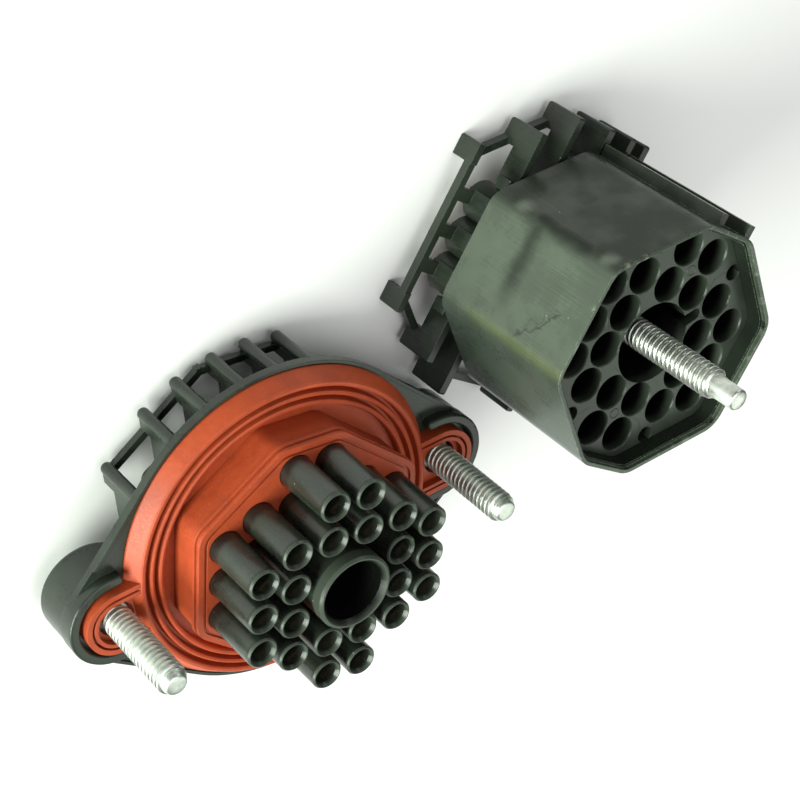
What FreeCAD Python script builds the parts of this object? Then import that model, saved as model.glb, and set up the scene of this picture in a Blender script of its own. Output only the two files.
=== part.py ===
import FreeCAD, Part
import math
import os

from FreeCAD import Vector as V

# Bolt-together 22-way cable connector, both halves unmated and standing on their wire ends.
# Frame: origin on the receptacle's centre tube axis at the flange's panel face, +X from the left
# stud to the right stud, +Z the mating direction. Millimetres.

# ---------------------------------------------------------------- driving dimensions
PITCH = 8.0                       # contact spacing
CONTACT_COLUMNS = ((0.5, (1.5, 2.5)), (1.5, (0.5, 1.5)), (2.4, (0.0, 1.0)))
ROWS_TURN = -8.3                  # contact rows against the stud line, degrees
BENCH_Z = -15.0                   # both halves rest here

STUD_HALF_SPAN = 38.3
STUD_DROP = 2.3                   # stud line below the centre tube axis, keys the flange
THREAD_R = 3.175                  # 1/4-20 UNC
THREAD_PITCH = 1.27
THREAD_DEPTH = 0.72
RUN_GAP = 0.075                   # radial clearance of the turning screws

# receptacle half
FLANGE_R = 36.2
FLANGE_T = 1.4
EAR_R = 10.2
EAR_BOSS_Z = -10.8
RIM_H = 0.4
RIM_W = 0.7
EAR_WALL_H = 2.4
EAR_WALL_T = 2.1
SEAL_R = 35.2
SEAL_CREST_Z = 3.6
SEAL_SHEET = 1.0
EYELET_R = 7.2
BOSS = (24.6, 25.0, 23.9)         # octagon half widths: along rows, across rows, on the diagonal
BOSS_Z = 10.8
BOSS_SKIN = 1.5
TOWER_R = 3.3
TOWER_BORE_R = 2.35
TOWER_Z = 24.8
CENTRE_TUBE_R = 8.15
CENTRE_TUBE_BORE_R = 6.5
CENTRE_TUBE_Z = 27.0
SKIRT_WALL = 1.8
FIN_T = 1.7
FIN_BEAD_R = 1.25
FIN_LOW = -13.4
FIN_SPOTS = ((-28.7, 2.0), (-19.4, 12.0), (-11.8, 12.0), (-3.6, 12.0), (3.9, 12.0), (11.2, 12.0))
BAND_LINE = ((-28.9, 20.5), (-6.9, 34.4), (11.6, 32.1))
STUD_TIP_Z = 24.4

# plug half, heights measured from the front of its perforated face
PLUG_XY = (71.2, 27.0)
PLUG_TURN = -37.0
SHELL = (26.0, 26.4, 25.2)
SHELL_WALL = 1.45
SHELL_CORNER = 5.8
SHELL_FRONT = 4.4
SHELL_REAR = -32.0
SOCKET_R = 3.7
SOCKET_DEPTH = 17.0
CENTRE_HOLE_R = 8.8
CORE_REAR = -41.0
CAGE_REAR = -44.8
CAGE_BAND = (28.4, 30.0, 29.5)
CAGE_FINS = (-18.6, -10.9)
JACK_TIP = 24.4
DOG_R = 2.25
DOG_LENGTH = 4.8

KEY_TURN = 46.0                   # key rib and its slot, degrees off the contact rows
CABLE_SEAL_R = 3.05

os.makedirs("parts", exist_ok=True)


# ---------------------------------------------------------------- helpers
def cyl(r, z0, z1, x=0.0, y=0.0):
    return Part.makeCylinder(r, z1 - z0, V(x, y, z0))


def tube(r_out, r_in, z0, z1, x=0.0, y=0.0):
    return cyl(r_out, z0, z1, x, y).cut(cyl(r_in, z0 - 1, z1 + 1, x, y))


def block(x0, x1, y0, y1, z0, z1):
    return Part.makeBox(x1 - x0, y1 - y0, z1 - z0, V(x0, y0, z0))


def revolve(points, x=0.0, y=0.0):
    """Solid of revolution about a vertical axis from (radius, height) points."""
    pts = [V(r, 0, z) for r, z in points]
    face = Part.Face(Part.makePolygon(pts + [pts[0]]))
    solid = face.revolve(V(0, 0, 0), V(0, 0, 1), 360)
    solid.translate(V(x, y, 0))
    return solid


def octagon_corners(half, grow=0.0):
    """Corners of an octagon given its half widths (along, across, diagonal)."""
    a, b, d = (h + grow for h in half)
    nx, ny = 0.606, 0.7955
    v = (d - nx * a) / ny
    u = (d - ny * b) / nx
    quarter = [(a, v), (u, b)]
    pts = quarter + [(-x, y) for x, y in reversed(quarter)]
    return pts + [(-x, -y) for x, y in pts]


def octagon(half, z0, z1, grow=0.0, corner=0.0):
    pts = [V(x, y, z0) for x, y in octagon_corners(half, grow)]
    solid = Part.Face(Part.makePolygon(pts + [pts[0]])).extrude(V(0, 0, z1 - z0))
    if corner > 0:
        upright = [e for e in solid.Edges if abs(e.tangentAt(e.FirstParameter).z) > 0.99]
        solid = solid.makeFillet(corner, upright)
    return solid


def contact_points():
    pts = []
    for u, vs in CONTACT_COLUMNS:
        for v in vs:
            signs = (1, -1) if v else (1,)
            pts += [(su * u * PITCH, sv * v * PITCH) for su in (1, -1) for sv in signs]
    return pts


def fuse(shapes):
    return shapes[0].multiFuse(shapes[1:]) if len(shapes) > 1 else shapes[0]


def turned(shape, degrees, x=0.0, y=0.0, z=0.0):
    out = shape.copy()
    out.rotate(V(0, 0, 0), V(0, 0, 1), degrees)
    out.translate(V(x, y, z))
    return out


def rows(shape):
    """Turn a receptacle piece drawn along the contact rows into the stud frame."""
    return turned(shape, ROWS_TURN)


def plug(shape):
    """Stand a plug piece beside the receptacle."""
    return turned(shape, PLUG_TURN, PLUG_XY[0], PLUG_XY[1], BENCH_Z - CAGE_REAR)


def save(name, shape):
    solids = shape.Solids
    out = solids[0] if len(solids) == 1 else Part.makeCompound(solids)
    out = out.removeSplitter() if len(solids) == 1 else out
    if not out.isValid():
        raise RuntimeError(name + " is not a valid solid")
    out.exportStep("parts/" + name + ".step")
    print(name, len(solids), round(out.Volume, 1))


def threaded_profile(z0, z1, core=THREAD_R - THREAD_DEPTH, crest=THREAD_R):
    """Outline of a threaded length from z0 up to z1 as stacked crests."""
    pts = []
    z = z0
    while z + THREAD_PITCH <= z1 + 1e-6:
        pts += [(core, z), (core, z + 0.16), (crest, z + 0.56), (crest, z + 0.72), (core, z + 1.12)]
        z += THREAD_PITCH
    return pts


def power_cell(index, circles, reach=40.0):
    """Convex share of the plane round one circle, so that no other circle reaches into it."""
    x0, y0, r0 = circles[index]
    poly = [(-reach, -reach), (reach, -reach), (reach, reach), (-reach, reach)]
    for k, (x, y, r) in enumerate(circles):
        if k == index:
            continue
        nx, ny = 2 * (x - x0), 2 * (y - y0)
        limit = x * x + y * y - x0 * x0 - y0 * y0 - r * r + r0 * r0
        kept = []
        for a, b in zip(poly, poly[1:] + poly[:1]):
            da, db = nx * a[0] + ny * a[1] - limit, nx * b[0] + ny * b[1] - limit
            if da <= 0:
                kept.append(a)
            if (da < -1e-9 and db > 1e-9) or (da > 1e-9 and db < -1e-9):
                t = da / (da - db)
                kept.append((a[0] + t * (b[0] - a[0]), a[1] + t * (b[1] - a[1])))
        poly = kept
    return poly


CONTACTS = contact_points()

# ---------------------------------------------------------------- flange housing
def flange_outline(grow, z0, z1):
    """Round flange and two ears joined by tangent edges."""
    big, small = FLANGE_R + grow, EAR_R + grow
    reach = math.hypot(STUD_HALF_SPAN, STUD_DROP)
    solid = cyl(big, z0, z1)
    for side in (-1, 1):
        ear = (side * STUD_HALF_SPAN, -STUD_DROP)
        solid = solid.fuse(cyl(small, z0, z1, *ear))
        toward = math.atan2(ear[1], ear[0])
        swing = math.acos((big - small) / reach)
        quad = []
        for turn, x, y, r in ((swing, 0, 0, big), (swing, *ear, small), (-swing, *ear, small), (-swing, 0, 0, big)):
            quad.append(V(x + r * math.cos(toward + turn), y + r * math.sin(toward + turn), z0))
        solid = solid.fuse(Part.Face(Part.makePolygon(quad + [quad[0]])).extrude(V(0, 0, z1 - z0)))
    return solid.removeSplitter()


def ear_wall(side):
    """Raised C wall round an eyelet, open towards the ring."""
    mid = EAR_R - EAR_WALL_T / 2
    wall = tube(EAR_R, EAR_R - EAR_WALL_T, -0.5, EAR_WALL_H)
    wall = wall.common(block(0, 20, -20, 20, -1, 9))
    for sy, leg in ((side, 1.6), (-side, 2.8)):
        wall = wall.fuse(block(-leg, 0, sy * mid - EAR_WALL_T / 2, sy * mid + EAR_WALL_T / 2, -0.5, EAR_WALL_H))
        wall = wall.fuse(cyl(EAR_WALL_T / 2, -0.5, EAR_WALL_H, -leg, sy * mid))
    wall = wall.removeSplitter()
    top = [e for e in wall.Edges if e.BoundBox.ZMin > EAR_WALL_H - 0.01]
    wall = wall.makeFillet(0.5, top)
    if side < 0:
        wall.rotate(V(0, 0, 0), V(0, 0, 1), 180)
    wall.translate(V(side * STUD_HALF_SPAN, -STUD_DROP, 0))
    return wall


def cage_fin(x, inner):
    """Fin behind the flange, square to the stud line: deep and beaded outside, shallow inside."""
    out = math.sqrt(FLANGE_R ** 2 - x * x)
    deep, top = out - 4.6, 0.1 - FLANGE_T
    prof = [(inner, top), (inner, -9.2), (deep, -9.2), (deep, FIN_LOW + 0.4),
            (out - FIN_BEAD_R, FIN_LOW + 0.4), (out - FIN_BEAD_R, top)]
    pts = [V(x - FIN_T / 2, y, z) for y, z in prof]
    web = Part.Face(Part.makePolygon(pts + [pts[0]])).extrude(V(FIN_T, 0, 0))
    edge = cyl(FIN_BEAD_R, FIN_LOW, top, x, out - FIN_BEAD_R)
    low = [e for e in edge.Edges if e.BoundBox.ZMax < FIN_LOW + 0.01]
    return web.fuse(edge.makeFillet(0.9, low))


def strip(p, q, thick, z0, z1):
    """Upright strip of a band from p to q, thickness to the inside."""
    length = math.hypot(q[0] - p[0], q[1] - p[1])
    s = block(-0.6, length + 0.6, 0, thick, z0, z1)
    s.rotate(V(0, 0, 0), V(0, 0, 1), math.degrees(math.atan2(q[1] - p[1], q[0] - p[0])))
    s.translate(V(p[0], p[1], 0))
    return s


def receptacle_cage():
    """Fins and band behind one side of the flange; the other side is its half turn."""
    parts = [cage_fin(x, inner) for x, inner in FIN_SPOTS]
    for p, q in zip(BAND_LINE, BAND_LINE[1:]):
        parts.append(strip(q, p, 1.5, FIN_LOW + 0.3, FIN_LOW + 1.8))
    return fuse(parts)


plate = flange_outline(0, -FLANGE_T, 0)
rim = flange_outline(0, -0.5, RIM_H).cut(flange_outline(-RIM_W, -1, RIM_H + 1))
for side in (-1, 1):
    x = side * STUD_HALF_SPAN
    rim = rim.cut(block(min(x - side * 6, x + side * 12), max(x - side * 6, x + side * 12), -14, 10, -1, 3))
skirt = octagon(BOSS, -9.0, 0.1 - FLANGE_T, SKIRT_WALL - BOSS_SKIN, 4.0)
cage = receptacle_cage()
bosses = []
for side in (-1, 1):
    boss = cyl(EAR_R - 0.2, EAR_BOSS_Z, 0.1 - FLANGE_T, side * STUD_HALF_SPAN, -STUD_DROP)
    low = [e for e in boss.Edges if e.BoundBox.ZMax < EAR_BOSS_Z + 0.01]
    bosses.append(boss.makeFillet(1.1, low))
body = fuse([plate, rim, rows(skirt), cage, turned(cage, 180), ear_wall(-1), ear_wall(1)] + bosses)
cuts = [rows(octagon(BOSS, -20, 20, -BOSS_SKIN + 0.05, 2.6))]
for side in (-1, 1):
    cuts += [cyl(r, low, high, side * STUD_HALF_SPAN, -STUD_DROP)
             for r, low, high in ((THREAD_R + RUN_GAP, -20, 5), (5.2, -20, -3.6), (4.7, -1.2, 3))]
body = body.cut(fuse(cuts))
save("flange_housing", body)

# ---------------------------------------------------------------- tower block
# one moulding, kept as a core, a centre tube and towers that meet on the core's front face
deck = BOSS_Z - SEAL_SHEET
core = octagon(BOSS, -12.8, deck, -BOSS_SKIN, 2.6)
towers = []
bores = []
for x, y in CONTACTS:
    towers.append(revolve([(0, deck), (TOWER_R + 0.12, deck), (TOWER_R, TOWER_Z - 0.35),
                           (TOWER_R - 0.3, TOWER_Z), (0, TOWER_Z)], x, y))
    bores.append(revolve([(0, -20), (3.1, -20), (3.1, -5), (1.95, -4.2), (1.95, 6), (TOWER_BORE_R, 6.4),
                          (TOWER_BORE_R, TOWER_Z - 0.9), (TOWER_R - 0.42, TOWER_Z), (TOWER_R - 0.42, 40), (0, 40)],
                         x, y))
centre = revolve([(0, deck), (CENTRE_TUBE_R, deck), (CENTRE_TUBE_R, CENTRE_TUBE_Z - 0.5),
                  (CENTRE_TUBE_R - 0.45, CENTRE_TUBE_Z), (0, CENTRE_TUBE_Z)])
centre_bore = revolve([(0, -20), (5.6, -20), (5.6, 3.0), (3.8, 3.0), (3.8, 5.0), (CENTRE_TUBE_BORE_R, 5.0),
                       (CENTRE_TUBE_BORE_R, CENTRE_TUBE_Z - 1.0), (CENTRE_TUBE_R - 0.75, CENTRE_TUBE_Z),
                       (CENTRE_TUBE_R - 0.75, 40), (0, 40)])
key = block(CENTRE_TUBE_R - 0.6, 10.1, -0.85, 0.85, deck, CENTRE_TUBE_Z - 3.0)
key.rotate(V(0, 0, 0), V(0, 0, 1), -KEY_TURN)
core = core.cut(fuse([centre_bore] + bores))
centre = centre.fuse(key).cut(centre_bore)
towers = [tower.cut(bore) for tower, bore in zip(towers, bores)]
save("tower_block", rows(Part.makeCompound([core, centre] + towers)))

# rear grid that holds the cable seals in
grid = octagon(BOSS, BENCH_Z, -12.85, -BOSS_SKIN - 0.5, 2.4)
grid = grid.cut(fuse([cyl(1.9, -20, -5, x, y) for x, y in CONTACTS] + [cyl(3.6, -20, -5)]))
# kept as four areas round the middle hole, which meet face to face
areas = [block(-30, 30, y0, y1, -20, -5) for y0, y1 in ((-30, -2), (-2, 2), (2, 30))]
save("receptacle_seal_grid", rows(Part.makeCompound([grid.common(area) for area in areas])))

# threaded insert and its snap ring behind the centre tube
nut = cyl(5.5, -5.0, 2.95).cut(cyl(2.65, -9, 9))
nut = nut.cut(revolve([(0, 2.2), (2.65, 2.2), (3.4, 3.0), (3.4, 4), (0, 4)]))
nut = nut.cut(revolve([(5.1, -1.6), (6, -1.6), (6, -0.6), (5.1, -0.6)]))
save("jack_nut", rows(nut))
ring = tube(5.55, 4.2, -6.3, -5.1).cut(block(3, 7, -1.0, 1.0, -7, -4))
save("jack_nut_ring", rows(ring))

# female contacts and cable seals
sockets = []
seals = []
for x, y in CONTACTS:
    sockets.append(revolve([(0, -4), (1.6, -4), (1.9, -3.4), (1.9, 4.6), (1.5, 5.2), (1.5, 20.6), (1.3, 21),
                            (0.86, 21), (0.86, 9.6), (0, 9.6)], x, y))
    seals.append(revolve([(1.15, -12.7), (CABLE_SEAL_R - 0.35, -12.7), (CABLE_SEAL_R, -12.1), (CABLE_SEAL_R, -11.3),
                          (CABLE_SEAL_R - 0.5, -10.9), (CABLE_SEAL_R - 0.5, -9.9), (CABLE_SEAL_R, -9.5),
                          (CABLE_SEAL_R, -8.7), (CABLE_SEAL_R - 0.5, -8.3), (CABLE_SEAL_R - 0.5, -7.3),
                          (CABLE_SEAL_R, -6.9), (CABLE_SEAL_R, -6.1), (CABLE_SEAL_R - 0.3, -5.6), (1.15, -5.6)],
                         x, y))
save("receptacle_contacts", rows(Part.makeCompound(sockets)))
save("receptacle_cable_seals", rows(Part.makeCompound(seals)))

# ---------------------------------------------------------------- flange seal
def ridge_profile():
    """Ring section from the tall outer wall in to the last ridge."""
    low = SEAL_CREST_Z - 2.1
    top = SEAL_CREST_Z
    pts = [(28.1, 0.0), (28.1, top - 0.6), (28.35, top - 0.15), (28.8, top), (29.2, top - 0.2), (29.45, low)]
    pts += [(30.0, low), (30.25, top - 0.2), (30.7, top), (31.1, top - 0.2), (31.35, low)]
    pts += [(31.9, low), (32.15, top - 0.2), (32.5, top), (33.0, top), (33.35, top - 0.3), (SEAL_R, 0.4)]
    return pts + [(SEAL_R, 0.0)]


def eyelet(radius, z0, z1, side, reach):
    """Round pad on a stud with straight legs running into the ring."""
    x = side * STUD_HALF_SPAN
    pad = cyl(radius, z0, z1, x, -STUD_DROP)
    ends = sorted((side * reach, x))
    return pad.fuse(block(*ends, -radius - STUD_DROP, radius - STUD_DROP, z0, z1))


ring_solid = revolve(ridge_profile())
sheet = cyl(SEAL_R - 1, 0, SEAL_SHEET)
eyelets = []
for side in (-1, 1):
    pad = eyelet(EYELET_R, 0, 1.7, side, 31.0)
    for r_out, r_in in ((EYELET_R, EYELET_R - 1.15), (5.55, 4.75)):
        lip = eyelet(r_out, 1.0, SEAL_CREST_Z - 0.2, side, 31.0).cut(eyelet(r_in, 0, 9, side, 27.0))
        pad = pad.fuse(lip)
    pad = pad.cut(cyl(32.7, -1, 9)).cut(cyl(3.8, -1, 9, side * STUD_HALF_SPAN, -STUD_DROP))
    eyelets.append(pad)
wall = octagon(BOSS, 0, BOSS_Z, 0, 4.2)
outer_lip = octagon(BOSS, BOSS_Z - 2.2, BOSS_Z - 1.5, 0.55, 4.6)
front_lip = octagon(BOSS, BOSS_Z - 0.75, BOSS_Z, 0.4, 4.5)
groove = octagon(BOSS, BOSS_Z - 0.5, BOSS_Z + 1, -0.85, 3.6).cut(octagon(BOSS, 0, 20, -1.4, 3.3))
inside = octagon(BOSS, -1, BOSS_Z - SEAL_SHEET, -BOSS_SKIN, 2.6)
holes = [cyl(TOWER_R + 0.2, 5, 20, x, y) for x, y in CONTACTS] + [cyl(CENTRE_TUBE_R + 0.1, 5, 20)]
key_hole = block(5, 10.3, -1.05, 1.05, 5, 20)
key_hole.rotate(V(0, 0, 0), V(0, 0, 1), -KEY_TURN)
cap = fuse([wall, outer_lip, front_lip])
seal = fuse([ring_solid, sheet, rows(cap)] + eyelets)
seal = seal.cut(rows(fuse([inside, groove, key_hole] + holes)))
save("flange_seal", seal)

# ---------------------------------------------------------------- flange studs and their clips
def stud(x):
    head_low, head_top = -10.0, -3.75
    prof = [(0, head_low), (4.35, head_low), (4.75, head_low + 0.4), (4.75, head_top), (THREAD_R, head_top),
            (THREAD_R, -0.95), (2.75, -0.95), (2.75, -0.3), (THREAD_R, -0.3), (THREAD_R, 0.6)]
    prof += threaded_profile(0.8, STUD_TIP_Z - 1.0)
    prof += [(THREAD_R - THREAD_DEPTH, STUD_TIP_Z - 0.7), (2.35, STUD_TIP_Z - 0.4), (2.1, STUD_TIP_Z),
             (0, STUD_TIP_Z)]
    screw = revolve(prof)
    hexagon = [V(2.75 * math.cos(math.radians(60 * i)), 2.75 * math.sin(math.radians(60 * i)), head_low - 1)
               for i in range(6)]
    screw = screw.cut(Part.Face(Part.makePolygon(hexagon + [hexagon[0]])).extrude(V(0, 0, 4.2)))
    screw.translate(V(x, -STUD_DROP, 0))
    return screw


def clip(r_out, r_in, z0, z1, x=0.0, y=0.0):
    """Flat retaining clip, open on one side."""
    c = tube(r_out, r_in, z0, z1)
    c = c.cut(block(0, r_out + 1, -r_in * 0.75, r_in * 0.75, z0 - 1, z1 + 1))
    c.translate(V(x, y, 0))
    return c


for side, name in ((-1, "left"), (1, "right")):
    save("flange_stud_" + name, stud(side * STUD_HALF_SPAN))
    save("stud_clip_" + name, clip(4.4, 2.8, -0.9, -0.35, side * STUD_HALF_SPAN, -STUD_DROP))

# ---------------------------------------------------------------- plug shell
shell = octagon(SHELL, SHELL_REAR, SHELL_FRONT, 0, SHELL_CORNER)
shell = shell.cut(octagon(SHELL, SHELL_REAR - 1, SHELL_FRONT + 1, -SHELL_WALL, SHELL_CORNER - SHELL_WALL))
shell = shell.cut(octagon(SHELL, SHELL_FRONT - 1.0, SHELL_FRONT + 1, -0.8, SHELL_CORNER - 0.8))
rail_near = block(-2.8, -1.2, SHELL[1] - 0.5, 29.0, SHELL_REAR, SHELL_FRONT - 1.8)
rail_far = block(4.3, 5.9, SHELL[1] - 0.5, 29.0, SHELL_REAR, SHELL_FRONT - 0.2)
shell = fuse([shell, rail_near, rail_far])
save("plug_shell", plug(shell))

# ---------------------------------------------------------------- socket block
# one moulding, kept as one cell for each socket and one for the centre well, meeting face to face
sock = octagon(SHELL, -30.0, 0, -SHELL_WALL - 0.05, SHELL_CORNER - SHELL_WALL - 0.05)
pockets = []
for x, y in CONTACTS:
    pockets.append(revolve([(0, -40), (1.62, -40), (1.62, -SOCKET_DEPTH - 2.4), (0.9, -SOCKET_DEPTH - 2.4),
                            (0.9, -SOCKET_DEPTH), (SOCKET_R, -SOCKET_DEPTH),
                            (SOCKET_R, -0.4), (SOCKET_R + 0.12, -0.12), (SOCKET_R + 0.22, 0), (SOCKET_R + 0.22, 5),
                            (0, 5)], x, y))
pockets.append(cyl(CENTRE_HOLE_R, -22, 5))
pockets.append(cyl(4.6, -40, 5))
slot = block(0, 11.2, -1.3, 1.3, -22, 5).fuse(cyl(1.3, -22, 5, 11.2, 0))
slot.rotate(V(0, 0, 0), V(0, 0, 1), KEY_TURN)
pockets.append(slot)
for sx in (-1, 1):
    for sy in (-1, 1):
        pockets.append(cyl(1.8, -12, 5, sx * 12.2, sy * 18.6))
sock = sock.cut(fuse(pockets))
circles = [(x, y, SOCKET_R) for x, y in CONTACTS] + [(0.0, 0.0, CENTRE_HOLE_R)]
cells = []
for i in range(len(circles)):
    edge = [V(x, y, -45) for x, y in power_cell(i, circles)]
    cells.append(sock.common(Part.Face(Part.makePolygon(edge + [edge[0]])).extrude(V(0, 0, 60))))
save("plug_socket_block", plug(Part.makeCompound([c for cell in cells for c in cell.Solids])))

# ---------------------------------------------------------------- rear cage
def flag(u, side, reach, inner, rear, front, notch=0.0):
    """Flat fin square to the rows, with softened edges; notch lifts the rear edge inside the band."""
    t = 1.7
    prof = [(reach, rear), (reach, front), (inner, front), (inner, rear + notch)]
    if notch:
        prof += [(reach - 5.2, rear + notch), (reach - 5.2, rear)]
    pts = [V(u - t / 2, side * v, z) for v, z in prof]
    f = Part.Face(Part.makePolygon(pts + [pts[0]])).extrude(V(t, 0, 0))
    soft = [e for e in f.Edges if all(abs(v.Point.y) > reach - 0.01 for v in e.Vertexes)]
    return f.makeFillet(0.5, soft)


def band_v(u):
    """Where the diagonal of the band's outside lies, for a fin at u."""
    return (CAGE_BAND[2] - 0.606 * abs(u)) / 0.7955


core_parts = [cyl(4.25, CORE_REAR, -32.6, x, y) for x, y in CONTACTS] + [cyl(8.6, CORE_REAR, -32.6)]
core_parts.append(octagon(SHELL, -34.4, -32.6, -5.2, 3.0))
band_low = CAGE_REAR + 2.0
band = octagon(CAGE_BAND, band_low, band_low + 1.9).cut(octagon(CAGE_BAND, band_low - 1, band_low + 3, -1.6))
side_band = band.copy()
side_band.translate(V(0, 0, 1.9))
ends = fuse([block(s * 27.7 - 0.95, s * 27.7 + 0.95, -15.7, 15.7, band_low - 1, band_low + 5) for s in (-1, 1)])
band = band.cut(ends).fuse(side_band.common(ends))
half_cage = []
for v in (-PITCH, 0.0, PITCH):
    half_cage.append(block(-CAGE_BAND[0] + 0.5, -16.0, v - 1.4, v + 1.4, band_low + 1.9, band_low + 3.8))
    half_cage.append(block(-23.4, -20.0, v - 1.9, v + 1.9, band_low + 1.9, -32.6))
for side in (-1, 1):
    for u in CAGE_FINS:
        half_cage.append(flag(u, side, band_v(u) + 3.0, 13.0, CAGE_REAR + 1.8, CAGE_REAR + 11.4, 3.8))
    half_cage.append(flag(-CAGE_BAND[0] + 0.85, side, 18.9, 14.4, CAGE_REAR, CAGE_REAR + 6.0))
    half_cage.append(block(-22.5, -12.0, side * 13.7 - 1.3, side * 13.7 + 1.3, -36.0, -32.6))
half = fuse(half_cage)
rail_flags = [flag(u, 1, 32.2, 17.0, CAGE_REAR + 1.8, -32.6) for u in (-2.0, 5.1)]
cage = fuse(core_parts + [band, half, turned(half, 180)] + rail_flags)
seal_bores = [revolve([(0, -60), (3.1, -60), (3.1, -34.9), (1.7, -34.9), (1.7, -30), (0, -30)], x, y)
              for x, y in CONTACTS]
cage = cage.cut(fuse(seal_bores + [cyl(THREAD_R + RUN_GAP, -60, -20), cyl(6.0, -60, -37.4)]))
save("plug_rear_cage", plug(cage))

# terminal retainer between the socket block and the cage
retainer = octagon(SHELL, -32.5, -30.1, -SHELL_WALL - 0.6, SHELL_CORNER - SHELL_WALL - 0.6)
retainer = retainer.cut(fuse([cyl(1.75, -40, -20, x, y) for x, y in CONTACTS] + [cyl(6.4, -40, -20)]))
save("plug_retainer", plug(retainer))

# male contacts and cable seals
pins = []
seals = []
for x, y in CONTACTS:
    pins.append(revolve([(0, -33.4), (1.3, -33.4), (1.6, -32.9), (1.6, -20.3), (1.3, -19.9), (0.78, -19.9), (0.78, -5.8),
                         (0.35, -5.0), (0, -5.0)], x, y))
    seals.append(revolve([(1.15, -40.6), (CABLE_SEAL_R - 0.3, -40.6), (CABLE_SEAL_R, -40.1), (CABLE_SEAL_R, -39.3),
                          (CABLE_SEAL_R - 0.5, -38.9), (CABLE_SEAL_R - 0.5, -38.1), (CABLE_SEAL_R, -37.7),
                          (CABLE_SEAL_R, -36.9), (CABLE_SEAL_R - 0.5, -36.5), (CABLE_SEAL_R - 0.5, -35.9),
                          (CABLE_SEAL_R - 0.2, -35.4), (1.15, -35.4)], x, y))
save("plug_contacts", plug(Part.makeCompound(pins)))
save("plug_cable_seals", plug(Part.makeCompound(seals)))

# ---------------------------------------------------------------- jackscrew, washer, clip and seal
head_low = -43.6
prof = [(0, head_low), (4.35, head_low), (4.75, head_low + 0.4), (4.75, -38.3), (THREAD_R, -38.3),
        (THREAD_R, -32.2), (2.75, -32.2), (2.75, -31.5), (THREAD_R, -31.5), (THREAD_R, -6.6)]
prof += threaded_profile(-6.4, JACK_TIP - DOG_LENGTH - 1.2)
prof += [(THREAD_R - THREAD_DEPTH, JACK_TIP - DOG_LENGTH - 0.7), (DOG_R, JACK_TIP - DOG_LENGTH),
         (DOG_R, JACK_TIP - 0.4), (DOG_R - 0.45, JACK_TIP), (0, JACK_TIP)]
jack = revolve(prof)
hexagon = [V(2.75 * math.cos(math.radians(60 * i)), 2.75 * math.sin(math.radians(60 * i)), head_low - 1)
           for i in range(6)]
jack = jack.cut(Part.Face(Part.makePolygon(hexagon + [hexagon[0]])).extrude(V(0, 0, 4.2)))
save("jackscrew", plug(jack))
save("jackscrew_washer", plug(tube(5.7, 3.2, -38.25, -37.45)))
save("jackscrew_clip", plug(clip(4.3, 2.8, -32.15, -31.55)))
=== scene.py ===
import math

import bpy
from mathutils import Matrix, Vector


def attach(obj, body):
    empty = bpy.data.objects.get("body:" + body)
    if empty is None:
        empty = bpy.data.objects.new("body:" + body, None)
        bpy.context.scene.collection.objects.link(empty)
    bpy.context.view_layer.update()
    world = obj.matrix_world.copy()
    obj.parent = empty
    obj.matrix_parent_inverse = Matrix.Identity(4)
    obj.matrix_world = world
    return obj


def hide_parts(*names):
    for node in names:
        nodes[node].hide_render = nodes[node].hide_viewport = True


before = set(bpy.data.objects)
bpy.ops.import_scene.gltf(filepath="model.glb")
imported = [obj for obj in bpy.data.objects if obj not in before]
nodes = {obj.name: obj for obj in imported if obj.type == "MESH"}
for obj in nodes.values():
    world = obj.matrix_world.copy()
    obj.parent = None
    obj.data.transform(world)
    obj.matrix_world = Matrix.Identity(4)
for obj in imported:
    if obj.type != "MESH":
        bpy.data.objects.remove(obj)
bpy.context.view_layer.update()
scene = bpy.context.scene
MM = 0.001

# ------------------------------------------------------------------ places, in millimetres
PLUG = (71.2, 27.0)                 # the plug's axis
PLUG_TURN = math.radians(-37.0)     # the plug's own u axis against X
PLUG_FACE = 29.8                    # height of the pierced face over the flange plane
ROWS_TURN = math.radians(-8.3)      # the receptacle's contact rows against X
STUDS = {"left": (-38.3, -2.3), "right": (38.3, -2.3)}
FLOOR = -15.0                       # what both halves stand on


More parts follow.
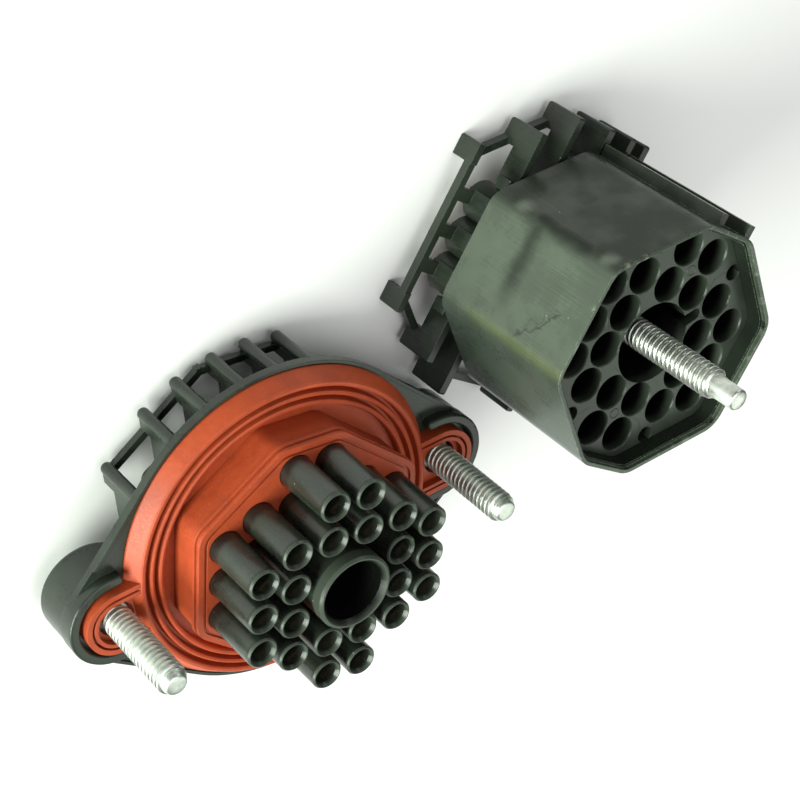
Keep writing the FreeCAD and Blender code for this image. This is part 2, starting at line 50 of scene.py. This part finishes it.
# ------------------------------------------------------------------ node helpers
class Shader:
    """A material with one Principled shader, and short calls that add nodes."""

    BEVEL_SAMPLES = 4

    def __init__(self, name, color, roughness, **fixed):
        self.mat = bpy.data.materials.new(name)
        self.mat.use_nodes = True
        self.tree = self.mat.node_tree
        self.bsdf = self.tree.nodes["Principled BSDF"]
        self.set("Base Color", (*color, 1.0))
        self.set("Roughness", roughness)
        for socket, value in fixed.items():
            self.set(socket.replace("_", " "), value)
        self.mat.diffuse_color = (*color, 1.0)
        self.where = self.node("ShaderNodeTexCoord").outputs["Object"]

    def set(self, socket, value):
        self.bsdf.inputs[socket].default_value = value

    def node(self, kind, **props):
        n = self.tree.nodes.new(kind)
        for key, value in props.items():
            setattr(n, key, value)
        return n

    def link(self, a, b):
        self.tree.links.new(a, b)

    def to(self, output, socket):
        self.link(output, self.bsdf.inputs[socket])

    def mapped(self, vector, socket, value):
        """The vector through one Mapping node with one of its inputs set."""
        n = self.node("ShaderNodeMapping", vector_type="POINT")
        n.inputs[socket].default_value = value
        self.link(vector, n.inputs["Vector"])
        return n

    def mm(self, scale=(1, 1, 1), turn=0.0, shift=(0, 0, 0)):
        """Object coordinates in millimetres, moved, then turned about Z, then scaled."""
        first = self.mapped(self.where, "Scale", (1 / MM, 1 / MM, 1 / MM))
        first.inputs["Location"].default_value = shift
        second = self.mapped(first.outputs["Vector"], "Rotation", (0, 0, turn))
        return self.mapped(second.outputs["Vector"], "Scale", scale).outputs["Vector"]

    def noise(self, vector, scale=1.0, detail=3.0, rough=0.5, distortion=0.0):
        n = self.node("ShaderNodeTexNoise")
        n.inputs["Scale"].default_value = scale
        n.inputs["Detail"].default_value = detail
        n.inputs["Roughness"].default_value = rough
        n.inputs["Distortion"].default_value = distortion
        self.link(vector, n.inputs["Vector"])
        return n.outputs["Fac"]

    def dots(self, vector, scale, size, keep):
        """Sparse specks: a mask of small spots, in a share keep of a cell pattern's cells."""
        v = self.node("ShaderNodeTexVoronoi")
        v.inputs["Scale"].default_value = scale
        self.link(vector, v.inputs["Vector"])
        near = self.ramp(v.outputs["Distance"], size * 0.5, size, 1.0, 0.0)
        part = self.node("ShaderNodeSeparateColor")
        self.link(v.outputs["Color"], part.inputs["Color"])
        some = self.math("GREATER_THAN", part.outputs["Red"], 1.0 - keep)
        return self.product(near, some)

    def split(self, vector):
        n = self.node("ShaderNodeSeparateXYZ")
        self.link(vector, n.inputs[0])
        return n.outputs[0], n.outputs[1], n.outputs[2]

    def math(self, op, a, b=None):
        n = self.node("ShaderNodeMath", operation=op)
        for i, v in enumerate((a, b)):
            if v is None:
                continue
            if isinstance(v, (int, float)):
                n.inputs[i].default_value = v
            else:
                self.link(v, n.inputs[i])
        return n.outputs[0]

    def fold(self, op, values):
        out = values[0]
        for v in values[1:]:
            out = self.math(op, out, v)
        return out

    def product(self, *values):
        return self.fold("MULTIPLY", values)

    def total(self, *values):
        return self.fold("ADD", values)

    def most(self, *values):
        return self.fold("MAXIMUM", values)

    def less(self, a, b):
        return self.math("SUBTRACT", a, b)

    def along(self, a, b, way):
        """Distance along the direction way, in the plane of the coordinates a and b."""
        return self.total(self.product(a, way[0]), self.product(b, way[1]))

    def near(self, value, at, reach, wobble=None):
        """1 where value is at, falling to 0 at reach from it; wobble shifts the place."""
        d = self.less(value, at)
        if wobble is not None:
            d = self.total(d, wobble)
        return self.ramp(self.math("ABSOLUTE", d), 0.0, reach, 1.0, 0.0)

    def ramp(self, value, lo, hi, out_lo=0.0, out_hi=1.0):
        """A smooth step from out_lo, where value is lo or less, to out_hi, where it is hi or more."""
        n = self.node("ShaderNodeMapRange", clamp=True, interpolation_type="SMOOTHSTEP")
        for key, v in zip(("From Min", "From Max", "To Min", "To Max"), (lo, hi, out_lo, out_hi)):
            n.inputs[key].default_value = v
        self.link(value, n.inputs["Value"])
        return n.outputs["Result"]

    def blend(self, fac, a, b):
        """Colour a where fac is 0, b where it is 1."""
        n = self.node("ShaderNodeMix", data_type="RGBA")
        for key, v in (("Factor", fac), ("A", a), ("B", b)):
            socket = next(s for s in n.inputs if s.name == key and s.enabled)
            if isinstance(v, tuple):
                socket.default_value = (*v, 1.0)
            else:
                self.link(v, socket)
        return next(s for s in n.outputs if s.enabled)

    def rounded(self, radius_mm):
        """The surface's normal with its edges rounded."""
        n = self.node("ShaderNodeBevel", samples=self.BEVEL_SAMPLES)
        n.inputs["Radius"].default_value = radius_mm * MM
        return n.outputs["Normal"]

    def bump(self, height, strength, distance_mm, rounding_mm):
        n = self.node("ShaderNodeBump")
        n.inputs["Strength"].default_value = strength
        n.inputs["Distance"].default_value = distance_mm * MM
        self.link(height, n.inputs["Height"])
        self.link(self.rounded(rounding_mm), n.inputs["Normal"])
        self.to(n.outputs["Normal"], "Normal")

    def edges(self, radius_mm, lo, hi):
        """Mask of edges, which are pale from wear and from a painted highlight: where the surface turns
        within radius.
        """
        geo = self.node("ShaderNodeNewGeometry")
        dot = self.node("ShaderNodeVectorMath", operation="DOT_PRODUCT")
        self.link(self.rounded(radius_mm), dot.inputs[0])
        self.link(geo.outputs["Normal"], dot.inputs[1])
        return self.ramp(self.less(1.0, dot.outputs["Value"]), lo, hi)


def lerp3(a, b, t):
    return tuple(x + (y - x) * t for x, y in zip(a, b))


# ------------------------------------------------------------------ plastics
EDGE_WEAR_AND_HIGHLIGHT_RADIUS = 0.3                   # how far round an edge it is pale from wear and from a painted highlight
DUST = (0.55, 0.57, 0.5)


def plastic(name, color, lighter, roughness, turn=0.0, centre=(0, 0), streak=0.0, edge=0.25,
            rounding=0.22, specks=0.35, gloss=0.38, marks=None):
    """Moulded plastic: cloudy tone, fine grain, a few pale specks and paler edges, partly from wear and
    partly a painted highlight. turn and centre give the node's own axes, streak the strength of upright
    brush marks. marks adds a node's own stains, scratches, painted light and painted shade and gives
    (colour, height, dullness)."""
    s = Shader(name, color, roughness, IOR=1.5, Specular_IOR_Level=gloss)
    shift = (-centre[0], -centre[1], 0)
    at = s.mm((1, 1, 1), -turn, shift)
    cloud = s.noise(at, 0.09, 4.0, 0.6)
    grain = s.noise(at, 3.2, 3.0, 0.6)
    lines = s.noise(s.mm((11.0, 11.0, 0.06), -turn, shift), 1.0, 3.0, 0.55)

    col = s.blend(s.ramp(cloud, 0.35, 0.68), color, lerp3(color, lighter, 0.5))
    if streak:
        col = s.blend(s.product(s.ramp(lines, 0.40, 0.72), streak), col, lighter)
    extra = None
    if marks:
        col, extra, dull = marks(s, at, cloud, grain, col)
        if dull is not None:
            s.to(s.product(s.less(1.0, dull), gloss), "Specular IOR Level")
    # paler edges: partly wear, partly a painted highlight along the rims
    edge_wear_and_highlight = s.product(s.edges(EDGE_WEAR_AND_HIGHLIGHT_RADIUS, 0.02, 0.3), s.ramp(grain, 0.38, 0.66))
    col = s.blend(s.product(edge_wear_and_highlight, edge), col, tuple(5.0 * x + 0.02 for x in lighter))
    col = s.blend(s.dots(at, 0.28, 0.035, specks), col, DUST)
    s.to(col, "Base Color")

    rough = s.total(s.product(s.ramp(cloud, 0.3, 0.7), 0.12), roughness - 0.06)
    s.to(s.total(rough, s.product(s.less(lines, 0.5), 0.16 if streak else 0.06)), "Roughness")
    height = s.total(s.product(grain, 0.35), s.product(lines, 0.35 if streak else 0.15))
    if extra is not None:
        height = s.total(height, extra)
    s.bump(height, 0.35, 0.02, rounding)
    return s


# the octagonal sleeve in its own axes u, v, z: where its walls are and which way its facets look
SLEEVE_HALF_U, SLEEVE_HALF_V, SLEEVE_HALF_SLANT = 26.0, 26.4, 25.2
FACET_NW, FACET_SW = (-0.606, 0.7955), (-0.606, -0.7955)
CORNER_OUT, CORNER_ACROSS = (-0.896, 0.444), (0.444, 0.896)
CRACK_V, CRACK_Z, CRACK_ACROSS = -9.7, 19.1, (0.712, -0.703)
# sleeve colours: a painted yellow reflection, painted shade, near black for painted shade and a painted
# dark reflection
YELLOW_REFLECTION, SHADED, NEAR_BLACK = (0.13, 0.16, 0.045), (0.026, 0.035, 0.030), (0.007, 0.0095, 0.007)
CORNER_HIGHLIGHT, SCUFFED = (0.18, 0.21, 0.165), (0.006, 0.007, 0.006)
CRACKED, WORN_RIM = (0.010, 0.012, 0.009), (0.30, 0.33, 0.27)


def sleeve_marks(s, at, cloud, grain, col):
    """Marks of the plug's sleeve, partly painted light: a painted yellow reflection along one corner, a
    painted dark reflection across the west facet, a darker strip along its upper corner, painted shade
    on the facets past it, on the south-west facet and within the walls, two painted highlights, scuffs,
    a fine raised crack and a rim pale from wear."""
    u, v, z = s.split(at)
    slow = s.product(s.less(s.noise(at, 0.22, 3.0), 0.5), 4.0)
    west = s.ramp(u, -25.6, -24.6, 1.0, 0.0)
    facet_nw, facet_sw = s.along(u, v, FACET_NW), s.along(u, v, FACET_SW)
    across = s.along(u, v, CORNER_ACROSS)
    corner = s.ramp(s.along(u, v, CORNER_OUT), 23.0, 25.0)

    # painted reflection: a yellow-green strip along the west facet's lower corner
    yellow = s.product(west, s.near(v, -10.9, 2.3, s.product(slow, 0.5)), s.ramp(z, 2.0, 10.0))
    col = s.blend(s.product(yellow, 0.30), col, YELLOW_REFLECTION)

    # the dark places, which are dull too: a painted dark reflection across the west facet, a darker
    # strip on the upper corner, painted shade on the north and north-west facets and within the
    # sleeve's walls
    dark_reflection = s.product(west, s.near(z, 12.5, 3.6, s.product(slow, 0.6)), s.ramp(v, -9.5, 1.0))
    upper = s.product(corner, s.near(across, 0.2, 3.6, s.product(slow, 0.4)),
                      s.ramp(s.near(z, 18.0, 14.0, slow), 0.0, 0.5))
    # painted shade on the north and north-west facets, which face away from the key light
    facet_shade = s.most(s.ramp(facet_nw, 23.8, 25.0), s.ramp(v, 25.2, 26.2))
    facet_shade = s.product(facet_shade, s.ramp(cloud, 0.30, 0.60, 0.35, 0.70))
    wide, tall = s.math("ABSOLUTE", u), s.math("ABSOLUTE", v)
    slant = s.along(wide, tall, tuple(abs(n) / SLEEVE_HALF_SLANT for n in FACET_NW))
    share = s.most(s.product(wide, 1 / SLEEVE_HALF_U), s.product(tall, 1 / SLEEVE_HALF_V))
    # painted shade within the sleeve's inner walls
    recess_shade = s.ramp(s.most(share, slant), 0.955, 0.965, 0.85, 0.0)
    dark = s.most(s.product(dark_reflection, 0.60), s.product(upper, 0.75), facet_shade, recess_shade)
    col = s.blend(s.ramp(facet_sw, 23.6, 25.0, 0.0, 0.55), col, SHADED)
    # near black over the painted shade, the painted dark reflection and the darker upper corner
    col = s.blend(dark, col, NEAR_BLACK)

    # painted highlights: two pale spots on the upper corner
    corner_highlights = s.most(s.near(z, 5.7, 3.0, slow), s.near(z, 30.5, 2.6, slow))
    corner_highlights = s.product(corner_highlights, corner, s.near(across, 0.8, 2.6, s.product(slow, 0.5)))
    col = s.blend(s.product(corner_highlights, 0.55), col, CORNER_HIGHLIGHT)
    scuff = s.product(s.ramp(facet_nw, 24.0, 24.9), s.ramp(s.noise(at, 0.7, 6.0, 0.8, 1.2), 0.60, 0.66),
                      s.ramp(z, 16.0, 22.0), s.ramp(cloud, 0.48, 0.56))
    col = s.blend(s.product(scuff, 0.6), col, SCUFFED)

    # the crack: two wavering lines side by side, which taper off towards both ends
    wave = s.product(s.less(s.noise(at, 0.45, 2.0), 0.5), 5.0)
    off = s.along(s.total(v, -CRACK_V), s.less(z, CRACK_Z), CRACK_ACROSS)
    taper = s.near(z, 23.4, 5.4)
    first = s.product(west, s.near(off, 0.0, 0.42, wave), s.ramp(taper, 0.02, 0.25))
    second = s.product(west, s.near(off, 1.1, 0.32, s.product(wave, 1.15)), s.ramp(taper, 0.1, 0.4))
    crack = s.most(first, s.product(second, 0.7))
    col = s.blend(s.product(crack, 0.7), col, CRACKED)

    rim = s.product(s.ramp(z, 33.2, 34.0), s.ramp(s.noise(at, 0.35, 5.0, 0.7), 0.55, 0.62))
    col = s.blend(s.product(rim, 0.35), col, WORN_RIM)
    return col, s.product(crack, 3.0), dark


MOUTH_Z, BORE_R = 24.0, 7.0         # where the towers' mouths begin; the centre tube's bore
TOWER_FOOT, TOWER_SCUFF = (0.005, 0.006, 0.005), (0.11, 0.13, 0.10)
TOWER_MOUTH_LIGHT, TUBE_BORE_SHADE = (0.052, 0.064, 0.049), (0.003, 0.0035, 0.003)
SOCKET_SHADE = (0.0015, 0.0016, 0.0015)


def tower_marks(s, at, cloud, grain, col):
    """Towers and centre tube: dull dark feet, scuffs up their sides, a painted highlight on their
    mouths, painted shade in the tube's bore.
    """
    u, v, z = s.split(at)
    radius = s.math("SQRT", s.total(s.product(u, u), s.product(v, v)))
    height = s.total(z, s.product(s.noise(at, 0.8, 4.0, 0.7), 2.0))
    feet = s.ramp(height, 13.8, 14.8, 1.0, 0.0)
    col = s.blend(s.product(feet, 0.8), col, TOWER_FOOT)
    scuffs = s.product(s.ramp(s.noise(at, 1.2, 6.0, 0.8), 0.56, 0.66), s.ramp(cloud, 0.42, 0.55),
                       s.ramp(height, 14.5, 15.5))
    col = s.blend(s.product(scuffs, 0.30), col, TOWER_SCUFF)
    # painted highlight on the towers' mouths: their rims and countersinks
    mouths = s.product(s.ramp(z, MOUTH_Z, MOUTH_Z + 0.5), s.ramp(radius, BORE_R, BORE_R + 0.4))
    col = s.blend(s.product(mouths, 0.8), col, TOWER_MOUTH_LIGHT)
    # painted shade in the centre tube's bore
    col = s.blend(s.ramp(radius, BORE_R - 0.4, BORE_R, 1.0, 0.0), col, TUBE_BORE_SHADE)
    dull = s.product(s.ramp(z, MOUTH_Z - 0.5, MOUTH_Z + 0.2), 0.55)
    return col, s.product(feet, grain, 1.5), dull


def socket_depth(s, at, cloud, grain, col):
    """Painted shade: the pierced face turns near black deep in its holes."""
    z = s.split(at)[2]
    recess_shade = s.ramp(z, PLUG_FACE - 3.3, PLUG_FACE - 0.5, 1.0, 0.0)
    return s.blend(recess_shade, col, SOCKET_SHADE), None, None


# ------------------------------------------------------------------ rubber and metals
def silicone(name, color, dark, pale):
    """Soft orange rubber: blotchy, browner in places, with fine dark specks and a dusty bloom."""
    s = Shader(name, color, 0.42, IOR=1.42)
    s.set("Subsurface Weight", 0.05)
    s.set("Subsurface Radius", (0.9, 0.25, 0.1))
    s.set("Subsurface Scale", 0.6 * MM)
    at = s.mm()
    blot = s.noise(at, 0.16, 5.0, 0.62, 0.4)
    fine = s.noise(at, 2.4, 4.0, 0.6)
    col = s.blend(s.ramp(blot, 0.38, 0.7), color, lerp3(color, dark, 0.32))
    col = s.blend(s.product(s.ramp(fine, 0.5, 0.8), 0.45), col, pale)
    smudge = s.product(s.ramp(s.noise(at, 0.5, 6.0, 0.75), 0.56, 0.78), 0.28)
    col = s.blend(smudge, col, dark)
    specks = s.dots(at, 1.0, 0.14, 0.45)
    col = s.blend(s.product(specks, 0.7), col, (0.10, 0.022, 0.012))
    s.to(col, "Base Color")
    s.to(s.ramp(fine, 0.3, 0.75, 0.42, 0.60), "Roughness")
    s.bump(s.total(fine, s.product(s.noise(at, 9.0, 2.0), 0.4)), 0.3, 0.035, 0.2)
    return s


def metal(name, color, tint, roughness):
    """Plated or turned metal: fine lathe lines round the axis, duller patches, tiny pits."""
    s = Shader(name, color, roughness, Metallic=1.0)
    at = s.mm()
    patch = s.noise(at, 0.55, 5.0, 0.65)
    fine = s.noise(at, 6.0, 3.0, 0.6)
    lathe = s.noise(s.mm((0.25, 0.25, 14.0)), 1.0, 2.0, 0.5)
    col = s.blend(s.ramp(patch, 0.42, 0.72), color, tint)
    pits = s.dots(at, 1.5, 0.12, 0.22)
    col = s.blend(s.product(pits, 0.5), col, tuple(0.35 * c for c in tint))
    s.to(col, "Base Color")
    mixed = s.total(s.product(fine, 0.5), s.product(lathe, 0.5))
    s.to(s.ramp(mixed, 0.3, 0.7, roughness - 0.08, roughness + 0.12), "Roughness")
    s.bump(s.total(s.product(lathe, 0.6), s.product(fine, 0.5)), 0.35, 0.02, 0.12)
    return s


# ------------------------------------------------------------------ the looks of the nodes
housing = plastic("housing_black", (0.0135, 0.0180, 0.0128), (0.036, 0.047, 0.034), 0.28,
                  ROWS_TURN, edge=0.40)
towers = plastic("tower_black", (0.0105, 0.0138, 0.0100), (0.036, 0.046, 0.034), 0.29,
                 ROWS_TURN, streak=0.35, edge=0.45, specks=0.5, gloss=0.6, marks=tower_marks)
inner = plastic("grid_black", (0.012, 0.012, 0.012), (0.022, 0.023, 0.022), 0.45, ROWS_TURN)
sleeve = plastic("sleeve_grey_black", (0.040, 0.053, 0.037), (0.086, 0.110, 0.078), 0.27,
                 PLUG_TURN, PLUG, streak=0.5, edge=0.55, rounding=0.3, specks=0.5,
                 marks=sleeve_marks)
face = plastic("face_grey_black", (0.025, 0.033, 0.0235), (0.044, 0.056, 0.041), 0.36,
               PLUG_TURN, PLUG, edge=0.35, marks=socket_depth)
cage = plastic("cage_grey_black", (0.015, 0.0205, 0.014), (0.034, 0.044, 0.031), 0.31,
               PLUG_TURN, PLUG, streak=0.15, edge=0.40, rounding=0.25)
orange = silicone("orange_silicone", (0.385, 0.056, 0.0150), (0.15, 0.022, 0.010),
                  (0.48, 0.112, 0.050))
wire_seal = silicone("wire_seal_silicone", (0.37, 0.06, 0.02), (0.18, 0.03, 0.015),
                     (0.48, 0.11, 0.05))
zinc = metal("zinc_plate", (0.66, 0.70, 0.64), (0.47, 0.50, 0.45), 0.38)
bright = metal("bright_steel", (0.70, 0.73, 0.67), (0.50, 0.53, 0.48), 0.33)
spring = metal("spring_steel", (0.50, 0.50, 0.50), (0.36, 0.36, 0.36), 0.35)
brass = metal("brass", (0.72, 0.54, 0.26), (0.55, 0.39, 0.17), 0.32)
copper = metal("contact_plate", (0.76, 0.60, 0.38), (0.56, 0.42, 0.25), 0.33)

LOOKS = {
    "flange_housing": housing, "tower_block": towers, "receptacle_seal_grid": inner,
    "jack_nut": brass, "jack_nut_ring": spring, "receptacle_contacts": copper,
    "receptacle_cable_seals": wire_seal, "flange_seal": orange,
    "flange_stud_left": zinc, "stud_clip_left": spring,
    "flange_stud_right": zinc, "stud_clip_right": spring,
    "plug_shell": sleeve, "plug_socket_block": face, "plug_rear_cage": cage,
    "plug_retainer": cage, "plug_contacts": copper, "plug_cable_seals": wire_seal,
    "jackscrew": bright, "jackscrew_washer": spring, "jackscrew_clip": spring,
}


def dress(obj, shader):
    obj.data.materials.clear()
    obj.data.materials.append(shader.mat)


for name, obj in nodes.items():
    dress(obj, LOOKS[name])


def add_object(name, verts, faces, shader):
    """A new object from vertices in metres."""
    mesh = bpy.data.meshes.new(name)
    mesh.from_pydata(verts, [], faces)
    obj = bpy.data.objects.new(name, mesh)
    scene.collection.objects.link(obj)
    dress(obj, shader)
    return obj


def add_smooth(name, verts, faces, shader):
    obj = add_object(name, verts, faces, shader)
    obj.data.shade_smooth()
    return obj


# ------------------------------------------------------------------ screws with true helical threads
THREAD_R, THREAD_PITCH, THREAD_DEPTH = 3.175, 1.27, 0.72
THREAD_RUN_IN, THREAD_RUN_OUT = 1.0, 0.8
AROUND, STEPS_PER_PITCH = 72, 14            # how finely the screws are divided
SOCKET_CORNER, SOCKET_DEPTH = 2.75, 3.0     # the hexagon socket in each head
SOCKET_CONE, SOCKET_FLARE = 0.2, 0.15       # its hollow floor and its chamfered mouth
HEAD_R, HEAD_CHAMFER = 4.75, 0.4
SHARP = math.radians(50)                    # edges sharper than this stay unsmoothed
GROOVE_R = 2.75                             # under the retaining clip
CORE_R = 2.6                                # where the thread runs out on the shank


def helix_radius(angle, z, start, end):
    """Radius of a rounded right-hand thread that fades out at both ends."""
    phase = (z / THREAD_PITCH - angle / (2 * math.pi)) % 1.0
    wave = 0.5 + 0.5 * math.cos(2 * math.pi * phase)
    crest = 1.0 - (1.0 - wave) ** 1.25
    crest = crest * crest * (3 - 2 * crest) * 0.55 + crest * 0.45
    run_in = max(0.0, min(1.0, (z - start) / THREAD_RUN_IN))
    run_out = max(0.0, min(1.0, (end - z) / THREAD_RUN_OUT))
    return THREAD_R - THREAD_DEPTH * (1.0 - crest * run_in * run_out)


def hexagon(angle):
    """Radius of the hexagon socket's outline."""
    sixth = math.pi / 3
    return SOCKET_CORNER * math.cos(sixth / 2) / math.cos(angle % sixth - sixth / 2)


def screw(name, node, body, place, thread, outline, shader):
    """A socket head screw, standing on its head at place. outline gives the (height, radius) points
    of the plain parts from the head's underside to the tip, and thread the heights that the thread
    lies between."""
    start, end = thread
    low, (tip_z, tip_r) = outline[0][0], outline[-1]
    verts, faces, rings = [], [], []

    def ring(radius_at, z):
        rings.append(len(verts))
        for i in range(AROUND):
            a = 2 * math.pi * i / AROUND
            r = radius_at(a)
            verts.append(((place[0] + r * math.cos(a)) * MM, (place[1] + r * math.sin(a)) * MM, z * MM))

    def plain_rings(points):
        for z, r in points:
            ring(lambda a: r, z)

    ring(lambda a: 0.35 * hexagon(a), low + SOCKET_DEPTH)
    ring(hexagon, low + SOCKET_DEPTH + SOCKET_CONE)
    ring(hexagon, low + SOCKET_FLARE)
    ring(lambda a: hexagon(a) + SOCKET_FLARE, low)
    plain_rings([p for p in outline if p[0] <= start])
    steps = round((end - start) / THREAD_PITCH * STEPS_PER_PITCH)
    for k in range(steps + 1):
        z = start + (end - start) * k / steps
        ring(lambda a: helix_radius(a, z, start, end), z)
    plain_rings([p for p in outline if p[0] >= end])
    ring(lambda a: tip_r * 0.4, tip_z)

    for a, b in zip(rings, rings[1:]):
        for i in range(AROUND):
            j = (i + 1) % AROUND
            faces.append((a + i, a + j, b + j, b + i))
    for first, z, upward in ((rings[0], low + SOCKET_DEPTH, False), (rings[-1], tip_z, True)):
        hub = len(verts)
        verts.append((place[0] * MM, place[1] * MM, z * MM))
        for i in range(AROUND):
            j = (i + 1) % AROUND
            faces.append((hub, first + i, first + j) if upward else (hub, first + j, first + i))
    obj = add_smooth(name, verts, faces, shader)
    obj.data.set_sharp_from_angle(angle=SHARP)
    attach(obj, body)
    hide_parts(node)


stud_outline = [
    (-10.0, HEAD_R - HEAD_CHAMFER), (-9.6, HEAD_R), (-3.75, HEAD_R), (-3.75, THREAD_R),
    (-0.95, THREAD_R), (-0.95, GROOVE_R), (-0.3, GROOVE_R), (-0.3, THREAD_R),
    (0.55, THREAD_R), (0.8, CORE_R),
    (23.45, 2.52), (24.05, 2.30), (24.3, 2.05), (24.4, 1.8)]
for side, place in STUDS.items():
    screw("stud_thread_" + side, "flange_stud_" + side, "stud_" + side, place, (0.8, 23.4),
          stud_outline, zinc)

f = PLUG_FACE
POINT_R = 2.25                              # the plain point past the last crest
jack_outline = [
    (f - 43.6, HEAD_R - HEAD_CHAMFER), (f - 43.2, HEAD_R), (f - 38.3, HEAD_R), (f - 38.3, THREAD_R),
    (f - 32.2, THREAD_R), (f - 32.2, GROOVE_R), (f - 31.5, GROOVE_R), (f - 31.5, THREAD_R),
    (f - 6.6, THREAD_R), (f - 6.4, CORE_R),
    (f + 18.5, 2.47), (f + 19.6, POINT_R), (f + 24.0, POINT_R), (f + 24.28, 2.05), (f + 24.4, 1.8)]
screw("jackscrew_thread", "jackscrew", "jack", PLUG, (f - 6.4, f + 18.4),
      jack_outline, bright)

# ------------------------------------------------------------------ ejector marks on the pierced face
MARK_R, MARK_WIRE = 1.05, 0.12
MARK_AROUND, MARK_SECTION = 36, 8


def ejector_mark(name, u, v):
    """A fine raised ring on the plug's face, at (u, v) in the plug's own axes."""
    x = PLUG[0] + u * math.cos(PLUG_TURN) - v * math.sin(PLUG_TURN)
    y = PLUG[1] + u * math.sin(PLUG_TURN) + v * math.cos(PLUG_TURN)
    verts, faces = [], []
    for i in range(MARK_AROUND):
        a = 2 * math.pi * i / MARK_AROUND
        for k in range(MARK_SECTION):
            b = 2 * math.pi * k / MARK_SECTION
            r = MARK_R + MARK_WIRE * math.cos(b)
            verts.append(((x + r * math.cos(a)) * MM, (y + r * math.sin(a)) * MM,
                          (PLUG_FACE + MARK_WIRE * math.sin(b)) * MM))
            here, there = i * MARK_SECTION, (i + 1) % MARK_AROUND * MARK_SECTION
            m = (k + 1) % MARK_SECTION
            faces.append((here + k, there + k, there + m, here + m))
    obj = add_smooth(name, verts, faces, face)
    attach(obj, "plug_half")


ejector_mark("ejector_mark_north", 0.0, 16.0)
ejector_mark("ejector_mark_south", 0.0, -16.0)

# ------------------------------------------------------------------ floor, in metres from here on
FLOOR_HALF = 3.0
FLOOR_GAP = 0.02 * MM                       # keeps the feet off the floor's own plane
paper = Shader("pale_floor", (0.86, 0.86, 0.85), 0.75)
cloudy = paper.noise(paper.mm(), 0.02, 2.0)
paper.to(paper.blend(cloudy, (0.85, 0.85, 0.84), (0.88, 0.88, 0.87)), "Base Color")
corners = [(x * FLOOR_HALF, y * FLOOR_HALF, 0) for x, y in ((-1, -1), (1, -1), (1, 1), (-1, 1))]
floor = add_object("floor", corners, [(0, 1, 2, 3)], paper)
floor.location = (0, 0, FLOOR * MM - FLOOR_GAP)

# ------------------------------------------------------------------ light
world = bpy.data.worlds.new("studio")
scene.world = world
world.use_nodes = True
background = world.node_tree.nodes["Background"]
background.inputs["Color"].default_value = (0.98, 1.0, 0.96, 1.0)
background.inputs["Strength"].default_value = 0.12

MIDDLE = (0.03, 0.012, 0.01)                # what the lights point at
WHITE, TINTED = (1, 1, 1), (0.92, 1.0, 0.91)


def area(name, at, size, watts, color):
    """A rectangular soft light."""
    light = bpy.data.lights.new(name, "AREA")
    light.shape = "RECTANGLE"
    light.size, light.size_y = size
    light.energy = watts
    light.color = color
    obj = bpy.data.objects.new(name, light)
    obj.location = at
    obj.rotation_euler = (Vector(MIDDLE) - Vector(at)).to_track_quat("-Z", "Y").to_euler()
    scene.collection.objects.link(obj)


area("key", (-0.95, -0.02, 0.34), (0.80, 0.45), 25.0, TINTED)
area("top", (-0.10, 0.10, 1.60), (1.80, 1.80), 20.0, WHITE)
area("rim", (0.80, 0.75, 0.45), (0.40, 0.30), 1.6, TINTED)
area("front", (0.63, -0.85, 0.93), (0.90, 0.90), 4.0, TINTED)

# ------------------------------------------------------------------ camera
CAMERA_AT = Vector((-0.14505, 0.25871, 0.2665))
CAMERA_LOOKS = Vector((0.43782, -0.60642, -0.66375))
CAMERA_UP = Vector((0.39067, 0.79325, -0.46704))

data = bpy.data.cameras.new("camera")
camera = bpy.data.objects.new("camera", data)
scene.collection.objects.link(camera)
data.sensor_width = 36.0
data.lens = 90.0
data.clip_start, data.clip_end = 0.01, 10.0
forward = CAMERA_LOOKS.normalized()
right = forward.cross(CAMERA_UP).normalized()
up = right.cross(forward)
turn = Matrix((right, up, -forward)).transposed()
camera.matrix_world = Matrix.Translation(CAMERA_AT) @ turn.to_4x4()
scene.camera = camera
scene.view_settings.view_transform = "Standard"
